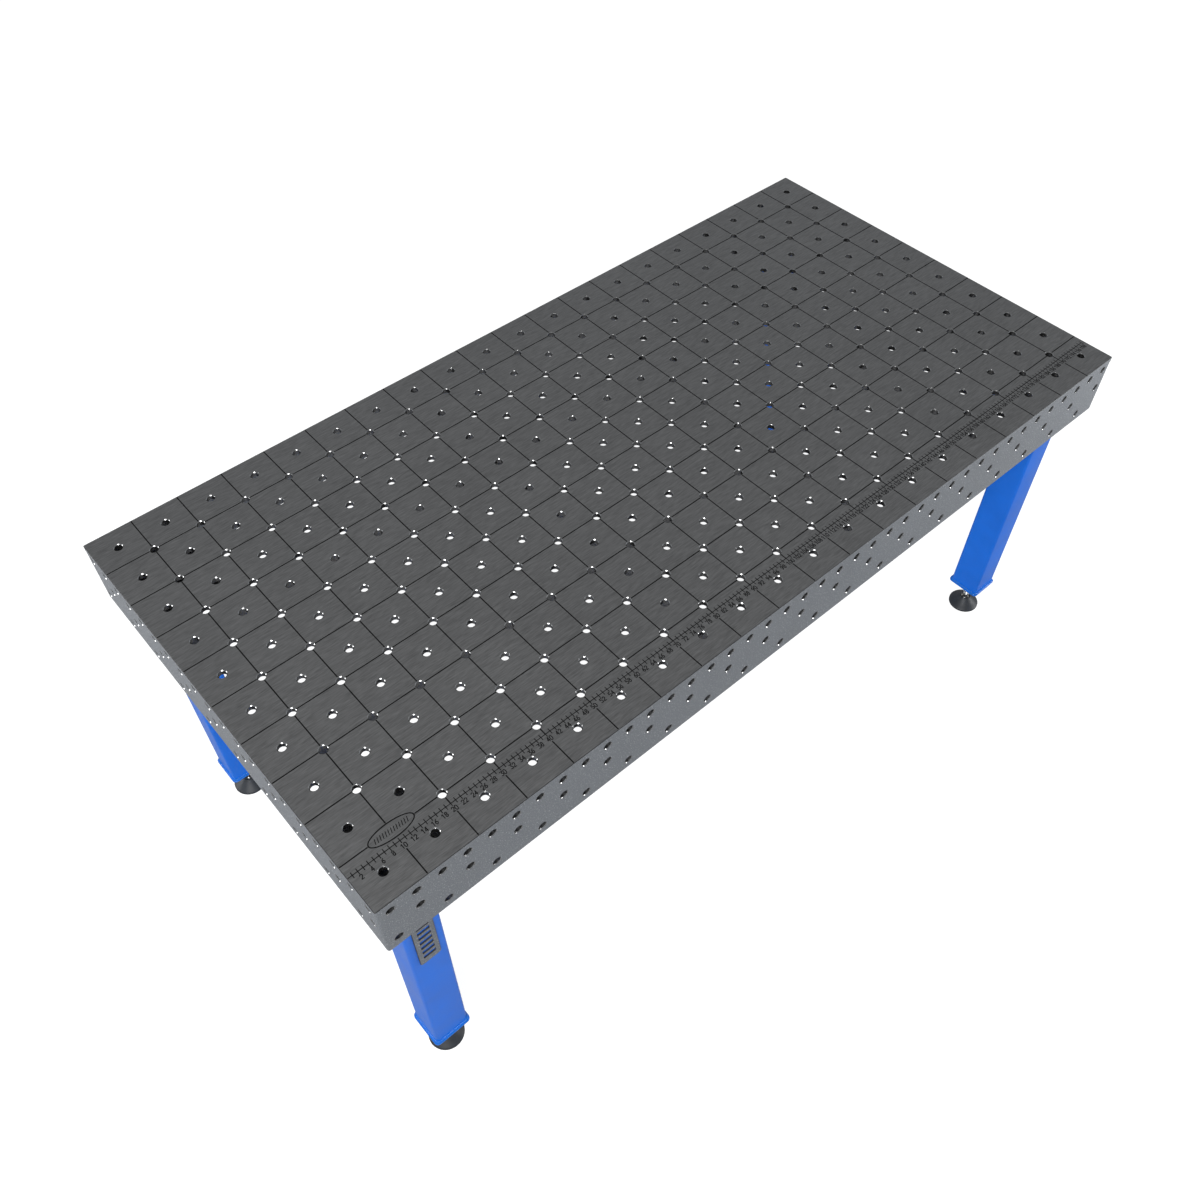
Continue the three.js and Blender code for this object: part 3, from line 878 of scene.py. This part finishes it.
def stitched(solid, along, fixed, start, end, out_sign, height):
    """Short fillet welds under the top, along one face of a rib or side plate."""
    out = Vector((0, out_sign, 0)) if along == 0 else Vector((out_sign, 0, 0))
    count = max(1, round((end - start) / STITCH_PITCH))
    for k in range(count):
        middle = start + (k + 0.5) * (end - start) / count
        ends = []
        for shift in (-STITCH / 2, STITCH / 2):
            ends.append((middle + shift, fixed) if along == 0 else (fixed, middle + shift))
        first, last = [(*p, height) for p in ends]
        straight_bead(solid, first, last, out, (0, 0, -1), BEAD)


def add_ribs(rib_paint, weld_paint):
    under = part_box("top_plate")[0].z
    welds = Solid()
    for node, along in RIBS.items():
        softened(node, f"{node}_plate", rib_paint)
        low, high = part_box(node)
        across = 1 - along
        for fixed, sign in ((low[across], -1), (high[across], 1)):
            stitched(welds, along, fixed, low[along], high[along], sign, under)
    for node, along, sign in (
        ("side_plate_front", 0, 1),
        ("side_plate_rear", 0, -1),
        ("end_plate_left", 1, 1),
        ("end_plate_right", 1, -1),
    ):
        low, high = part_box(node)
        across = 1 - along
        fixed = high[across] if sign > 0 else low[across]
        stitched(welds, along, fixed, low[along], high[along], sign, under)
    make_piece("stitch_welds", welds, [weld_paint])


# ---- Leg mounts --------------------------------


def bolt_centres(corner):
    """Centres of a leg's four bolts, in an L along the flange's inner edges."""
    sign_x, sign_y = CORNERS[corner]
    low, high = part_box(f"{corner}_leg_flange")
    outer_x = high.x if sign_x > 0 else low.x
    outer_y = high.y if sign_y > 0 else low.y
    line = high.x - low.x - BOLT_LINE
    for near in BOLT_PLACES:
        yield outer_x - sign_x * line, outer_y - sign_y * near
        yield outer_x - sign_x * near, outer_y - sign_y * line


def add_corner_plate(node, corner, paints):
    low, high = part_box(node)
    holes = [round_hole(x, y, BOLT_HOLE_RADIUS) for x, y in bolt_centres(corner)]
    thickness = high.z - low.z
    outline, rim = even_rim(low.x, low.y, high.x, high.y, MOUNT_CORNER, thickness)
    solid = plate(outline, rim, holes, thickness, chamfer=SMALL_CHAMFER)
    place = Matrix.Translation((0, 0, high.z))
    make_piece(f"{node}_plate", solid, paints, nodes=[node], place=place)


def add_bolts(corner, paint):
    mount_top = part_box(f"{corner}_leg_mount")[1].z
    flange_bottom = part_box(f"{corner}_leg_flange")[0].z
    washer_radius, washer_height = BOLT_WASHER
    for number, (x, y) in enumerate(bolt_centres(corner), 1):
        solid = Solid()
        seat = flange_bottom - washer_height
        solid.loft(chamfered_hexagon(BOLT_FLATS, seat - BOLT_HEAD, seat, x, y, (True, False)))
        nut_low = mount_top + washer_height
        nut_high = nut_low + BOLT_NUT
        solid.loft(chamfered_hexagon(BOLT_FLATS, nut_low, nut_high, x, y))
        shank = [
            (BOLT_RADIUS, seat),
            (BOLT_RADIUS, nut_high + BOLT_END),
            (BOLT_RADIUS - BOLT_END_CHAMFER, nut_high + BOLT_END + BOLT_END_CHAMFER),
        ]
        solid.loft([turned_loop(radius, z, ROD_STEPS, x, y) for radius, z in shank])
        for low in (seat, mount_top):
            high = low + washer_height
            washer = ring_profile(BOLT_HOLE_RADIUS, washer_radius, low, high, WASHER_BREAK)
            turn(solid, washer, x=x, y=y)
        make_piece(f"{corner}_leg_bolt_{number}", solid, [paint])


# ---- Legs --------------------------------------


def middle_of(node):
    low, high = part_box(node)
    return (low.x + high.x) / 2, (low.y + high.y) / 2


def square_loop(x, y, size, corner, height):
    half = size / 2
    square = rounded_rectangle(x - half, y - half, x + half, y + half, corner)
    return at_height(square, height)


def add_tube(corner, paint):
    node = f"{corner}_leg_tube"
    low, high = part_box(node)
    x, y = middle_of(node)
    size = high.x - low.x
    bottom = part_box(f"{corner}_base_plate")[1].z
    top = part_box(f"{corner}_leg_flange")[0].z
    inner = size - 2 * TUBE_WALL
    solid = Solid()
    solid.loft(
        [
            square_loop(x, y, size, TUBE_CORNER, bottom),
            square_loop(x, y, size, TUBE_CORNER, top),
            square_loop(x, y, inner, TUBE_INNER_CORNER, top),
            square_loop(x, y, inner, TUBE_INNER_CORNER, bottom),
        ],
        closed=True,
    )
    make_piece(f"{node}_painted", solid, [paint], nodes=[node])


def leg_bead_stations(x, y, size, height, up):
    """Stations round a square tube, with arcs at its corners."""
    half = size / 2
    core = half - TUBE_CORNER  # half of the square that the corners' centres span
    square = rounded_rectangle(-half, -half, half, half, TUBE_CORNER, 6)
    stations = []
    for k, point in enumerate(square):
        after = Vector(square[(k + 1) % len(square)])
        here = Vector(point)
        gap = (after - here).length
        count = max(1, round(gap / (BEAD_RIPPLE / 3)))
        for step in range(count):
            at = here.lerp(after, step / count)
            inside_x = math.copysign(min(abs(at.x), core), at.x)
            inside_y = math.copysign(min(abs(at.y), core), at.y)
            out = Vector((at.x - inside_x, at.y - inside_y, 0))
            stations.append((Vector((x + at.x, y + at.y, height)), out.normalized(), up))
    return stations


def add_leg_welds(corner, paint):
    low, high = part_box(f"{corner}_leg_tube")
    x, y = middle_of(f"{corner}_leg_tube")
    size = high.x - low.x
    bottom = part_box(f"{corner}_base_plate")[1].z
    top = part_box(f"{corner}_leg_flange")[0].z
    for end, height, up in (("base", bottom, 1), ("flange", top, -1)):
        solid = Solid()
        stations = leg_bead_stations(x, y, size, height, Vector((0, 0, up)))
        bead(solid, stations, LEG_BEAD, closed=True)
        make_piece(f"{corner}_{end}_weld", solid, [paint])


def add_base_plate(corner, paints):
    node = f"{corner}_base_plate"
    low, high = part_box(node)
    x, y = middle_of(node)
    thickness = high.z - low.z
    outline, rim = even_rim(low.x, low.y, high.x, high.y, BASE_CORNER, thickness, BASE_BREAK)
    hole = [round_hole(x, y, BASE_BORE)]
    solid = plate(outline, rim, hole, thickness, chamfer=SMALL_CHAMFER, rim_paints=(3, 3))
    place = Matrix.Translation((0, 0, high.z))
    make_piece(f"{node}_painted", solid, paints, nodes=[node], place=place)


# ---- Levelling feet ----------------------------

# These repeat the CAD's section through a foot, so the pieces keep its clearances.
BALL_HEIGHT = 0.018
BALL_RADIUS = 0.009
BALL_BORE = 0.0042
CUP_INNER = 0.010
CUP_OUTER = 0.0124
CUP_LIP = 0.005
SOCKET_RADIUS = 0.0136
COLLAR_BORE = 0.011
COLLAR_RADIUS = 0.015
COLLAR_HEIGHT = 0.002
PAD_RIM_TOP = 0.007
NECK_RADIUS = 0.005
JOURNAL_RADIUS = 0.0036
WRENCH_FLATS = 0.0160
WRENCH_BOTTOM = 0.036
WRENCH_TOP = 0.044
NUT_FLATS = 0.030
NUT_BORE = 0.0104
RING_BORE = 0.0106
SPHERE_STEPS = 12
PAD_STEPS = 64
PAD_SHARP_ANGLE = 40

# Broken edges and small shapes that only the visual model has.
THREAD_SLOPE = 2.6
THREAD_CREST = 0.15
JOURNAL_BREAK = 0.0005
WRENCH_BREAK = 0.0008
NUT_MOUTH = 0.0009
LOCK_WASHER_BREAK = 0.0004
BUSH_BREAK = 0.0010
PAD_BREAK = 0.0008
PAD_RIM_ROUND = ((0, 0.0012), (0.0006, 0.0003))  # inwards from the radius, down from the top
SKIRT_STEPS = 8
SKIRT_SAG = 0.0011
COLLAR_FOOT = 0.0004
COLLAR_BREAK = 0.0006
MOUTH_BREAK = 0.0004
SOLE_GAP = 0.0003
SOLE_RINGS = (0.25, 0.5, 0.75)  # shares of the sole's radius
GROOVE = ((-0.0013, 0), (-0.0008, 0.0007), (0.0008, 0.0007), (0.0013, 0))  # across, deep
SOLE_BREAK = 0.0005
SOLE_TOP_BREAK = 0.0003


def arc(radius, height, start, end, steps=SPHERE_STEPS):
    """Points of an arc about a point on the axis, as (radius, height); angles from the level."""
    angles = (start + (end - start) * k / steps for k in range(steps + 1))
    return [(radius * math.cos(a), height + radius * math.sin(a)) for a in angles]


def thread_loop(radius, height, x, y):
    """One ring of a right-hand thread: the crest climbs one pitch in each turn."""
    points = []
    for k in range(ROD_STEPS):
        angle = math.tau * k / ROD_STEPS
        phase = (height / THREAD_PITCH - k / ROD_STEPS) % 1
        flank = min(1, max(0, abs(phase - 0.5) * THREAD_SLOPE - THREAD_CREST))
        at = radius - THREAD_DEPTH * flank
        points.append((x + at * math.cos(angle), y + at * math.sin(angle), height))
    return points


def add_spindle(corner, x, y, paint):
    node = f"{corner}_spindle"
    low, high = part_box(node)
    radius = (high.x - low.x) / 2
    ball_top = BALL_HEIGHT + BALL_RADIUS
    loops = [
        turned_loop(at, z, ROD_STEPS, x, y)
        for at, z in (
            (JOURNAL_RADIUS - JOURNAL_BREAK, low.z),
            (JOURNAL_RADIUS, low.z + JOURNAL_BREAK),
            (JOURNAL_RADIUS, ball_top),
            (NECK_RADIUS, ball_top),
            (NECK_RADIUS, WRENCH_BOTTOM),
        )
    ]
    limit = WRENCH_FLATS / 2 / math.cos(math.pi / 6)
    for z, at in (
        (WRENCH_BOTTOM, WRENCH_FLATS / 2),
        (WRENCH_BOTTOM + WRENCH_BREAK, limit),
        (WRENCH_TOP - WRENCH_BREAK, limit),
        (WRENCH_TOP, WRENCH_FLATS / 2),
    ):
        loops.append(hexagon_loop(WRENCH_FLATS, at, z, ROD_STEPS, x, y))
    loops.append(turned_loop(radius - THREAD_DEPTH, WRENCH_TOP, ROD_STEPS, x, y))
    levels = round((high.z - WRENCH_TOP) / THREAD_PITCH * THREAD_LEVELS)
    for k in range(1, levels):
        z = WRENCH_TOP + (high.z - WRENCH_TOP) * k / levels
        loops.append(thread_loop(radius, z, x, y))
    loops.append(turned_loop(radius - THREAD_DEPTH, high.z, ROD_STEPS, x, y))
    solid = Solid()
    solid.loft(loops)
    make_piece(f"{node}_threaded", solid, [paint], f"{corner}_screw", [node])


def add_nut(corner, x, y, paint):
    node = f"{corner}_lock_nut"
    low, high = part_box(node)
    loops = chamfered_hexagon(NUT_FLATS, low.z, high.z, x, y)
    for at, z in (
        (NUT_BORE + NUT_MOUTH, high.z),
        (NUT_BORE, high.z - NUT_MOUTH),
        (NUT_BORE, low.z + NUT_MOUTH),
        (NUT_BORE + NUT_MOUTH, low.z),
    ):
        loops.append(turned_loop(at, z, TURN_STEPS, x, y))
    solid = Solid()
    solid.loft(loops, closed=True)
    make_piece(f"{node}_hexagon", solid, [paint], f"{corner}_nut", [node])


def add_turned(node, ending, x, y, profile, paint, body, steps=TURN_STEPS, sharp=SHARP_ANGLE):
    """A piece of revolution that takes the place of one CAD solid."""
    solid = Solid()
    turn(solid, profile, steps, x, y)
    make_piece(f"{node}_{ending}", solid, [paint], body, [node], sharp=sharp)


def add_ring(corner, part, x, y, round_edge, paint, body):
    """The lock washer or the threaded bush."""
    node = f"{corner}_{part}"
    low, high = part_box(node)
    profile = ring_profile(RING_BORE, (high.x - low.x) / 2, low.z, high.z, round_edge)
    add_turned(node, "turned", x, y, profile, paint, body)


def add_ball(corner, x, y, paint):
    limit = math.acos(BALL_BORE / BALL_RADIUS)
    profile = arc(BALL_RADIUS, BALL_HEIGHT, -limit, limit)
    node, body = f"{corner}_foot_ball", f"{corner}_foot"
    add_turned(node, "turned", x, y, profile, paint, body)


def add_cup(corner, x, y, paint):
    lip = math.asin(CUP_LIP / CUP_INNER)
    outside = arc(CUP_OUTER, BALL_HEIGHT, -math.pi / 2, lip)
    inside = arc(CUP_INNER, BALL_HEIGHT, lip, -math.pi / 2)
    node, body = f"{corner}_ball_cup", f"{corner}_cup"
    add_turned(node, "moulded", x, y, outside + inside, paint, body)


def add_pad(corner, x, y, paint):
    """Conical pad: rounded rim, flared skirt, collar, spherical socket and a recess for the sole."""
    node = f"{corner}_foot_pad"
    low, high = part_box(node)
    sole_low, sole_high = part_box(f"{corner}_foot_sole")
    radius = (high.x - low.x) / 2
    recess = (sole_high.x - sole_low.x) / 2 + SOLE_GAP
    recess_top = sole_high.z + SOLE_GAP
    collar_low = high.z - COLLAR_HEIGHT
    mouth = math.acos(COLLAR_BORE / SOCKET_RADIUS)
    rim = [(radius - PAD_BREAK, low.z), (radius, low.z + PAD_BREAK)]
    rim += [(radius - inwards, PAD_RIM_TOP - down) for inwards, down in PAD_RIM_ROUND]
    skirt_start = rim[-1][0]
    skirt = []
    for k in range(1, SKIRT_STEPS + 1):
        share = k / SKIRT_STEPS
        at = skirt_start + (COLLAR_RADIUS + COLLAR_FOOT - radius) * share
        sag = SKIRT_SAG * math.sin(math.pi * share)
        skirt.append((at, PAD_RIM_TOP + (collar_low - PAD_RIM_TOP) * share - sag))
    collar = [
        (COLLAR_RADIUS, collar_low + COLLAR_FOOT),
        (COLLAR_RADIUS, high.z - COLLAR_BREAK),
        (COLLAR_RADIUS - COLLAR_BREAK, high.z),
        (COLLAR_BORE + MOUTH_BREAK, high.z),
        (COLLAR_BORE, high.z - MOUTH_BREAK),
    ]
    socket = arc(SOCKET_RADIUS, BALL_HEIGHT, mouth, -math.pi / 2)
    hollow = [(0, recess_top), (recess, recess_top), (recess, low.z)]
    profile = hollow + rim + skirt + collar + socket
    body = f"{corner}_pad"
    add_turned(node, "moulded", x, y, profile, paint, body, PAD_STEPS, PAD_SHARP_ANGLE)


def add_sole(corner, x, y, paint):
    """Rubber disc with ring grooves on the underside."""
    node = f"{corner}_foot_sole"
    low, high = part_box(node)
    radius = (high.x - low.x) / 2
    profile = [(0, low.z)]
    for ring in SOLE_RINGS:
        profile += [(radius * ring + across, low.z + depth) for across, depth in GROOVE]
    profile += [
        (radius - SOLE_BREAK, low.z),
        (radius, low.z + SOLE_BREAK),
        (radius, high.z - SOLE_TOP_BREAK),
        (radius - SOLE_TOP_BREAK, high.z),
        (0, high.z),
    ]
    body = f"{corner}_pad"
    add_turned(node, "moulded", x, y, profile, paint, body, PAD_STEPS)


def add_foot(corner, paints):
    x, y = middle_of(f"{corner}_foot_pad")
    add_spindle(corner, x, y, paints["zinc"])
    add_nut(corner, x, y, paints["zinc"])
    add_ring(corner, "lock_washer", x, y, LOCK_WASHER_BREAK, paints["zinc"], f"{corner}_washer")
    add_ring(corner, "thread_bush", x, y, BUSH_BREAK, paints["turned"], "root")
    add_ball(corner, x, y, paints["zinc"])
    add_cup(corner, x, y, paints["nylon"])
    add_pad(corner, x, y, paints["pad"])
    add_sole(corner, x, y, paints["rubber"])


# ---- Name plate --------------------------------

SLOT_SIZE = (0.026, 0.011)
SLOT_COUNT = 8
SLOT_PITCH = 0.020
SLOT_CORNER = 0.0012
SLOT_CORNER_STEPS = 3
SLOT_CHAMFER = 0.0003
NAME_CORNER = 0.006


def slot_hole(x, y):
    half_width, half_height = SLOT_SIZE[0] / 2, SLOT_SIZE[1] / 2

    def loop(grow):
        across, up = half_width + grow, half_height + grow
        corner = SLOT_CORNER + grow
        return rounded_rectangle(x - across, y - up, x + across, y + up, corner, SLOT_CORNER_STEPS)

    return loop


def add_name_plate(paints):
    """Plain slotted plate on the front left leg. It carries no lettering."""
    low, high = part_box("name_plate")
    width, thickness, height = high - low
    first = (height - (SLOT_COUNT - 1) * SLOT_PITCH) / 2
    slots = [slot_hole(width / 2, first + k * SLOT_PITCH) for k in range(SLOT_COUNT)]
    outline, rim = even_rim(0, 0, width, height, NAME_CORNER, thickness)
    solid = plate(outline, rim, slots, thickness, chamfer=SLOT_CHAMFER, rim_paints=(3, 3))
    place = Matrix.Translation((low.x, low.y, low.z)) @ UPRIGHT
    make_piece(
        "name_plate_slotted", solid, paints, nodes=["name_plate"], place=place
    )


# ---- Assembly ----------------------------------

add_camera()
add_lights()
add_floor()

top_steel = brushed_top_steel()
side_steel = speckled_side_steel()
rib_steel = raw_rib_steel()
turned = turned_steel()
countersink = turned_steel("countersink_steel", 0.40, 0.15, 0.06)
bore = turned_steel("bore_steel", 0.20, 0.34)
# Near-black copy of the turned steel for the top plate's upper edge chamfer: a painted dark reflection
# along the top edge.
dark_reflection_steel = turned_steel("dark_reflection_steel", 0.07, 0.45)
scribe = dark_scribe()
blue = leg_paint()
edge_blue = leg_paint("leg_paint_edge", (0.003, 0.140, 0.60), (0.006, 0.170, 0.70))
plate_steel = speckled_side_steel("plate_steel", 0.34)
# Near-black finish for the name plate's rim, chamfers and slot walls: a dark outline drawn round the
# plate and its slots.
outline_dark = moulded("dark_rim_outline", (0.03, 0.028, 0.026), (0.06, 0.055, 0.05), 0.5, 500.0, 0.00005)
foot_paints = {
    "zinc": zinc_plate(),
    "turned": turned,
    "nylon": moulded("nylon", (0.62, 0.60, 0.54), (0.70, 0.68, 0.62), 0.45, 500.0, 0.00002),
    "pad": moulded("pad_plastic", (0.019, 0.023, 0.029), (0.029, 0.034, 0.042), 0.44, 700.0, 0.00005),
    "rubber": moulded("sole_rubber", (0.010, 0.010, 0.011), (0.018, 0.018, 0.019), 0.7, 300.0, 0.0001),
}

add_box(
    [top_steel, scribe, countersink, side_steel, bore, dark_reflection_steel],
    [side_steel, scribe, countersink, side_steel, bore],
)
add_ribs(rib_steel, weld_metal())
for corner in CORNERS:
    add_corner_plate(f"{corner}_leg_mount", corner, [rib_steel] * 5)
    add_corner_plate(f"{corner}_leg_flange", corner, [blue] * 5)
    add_bolts(corner, foot_paints["zinc"])
    add_tube(corner, blue)
    add_leg_welds(corner, edge_blue)
    add_base_plate(corner, [edge_blue] * 5)
    add_foot(corner, foot_paints)
# The chamfers, rim and slot walls of the name plate take the near-black outline paint.
add_name_plate([plate_steel, scribe, outline_dark, outline_dark, outline_dark])
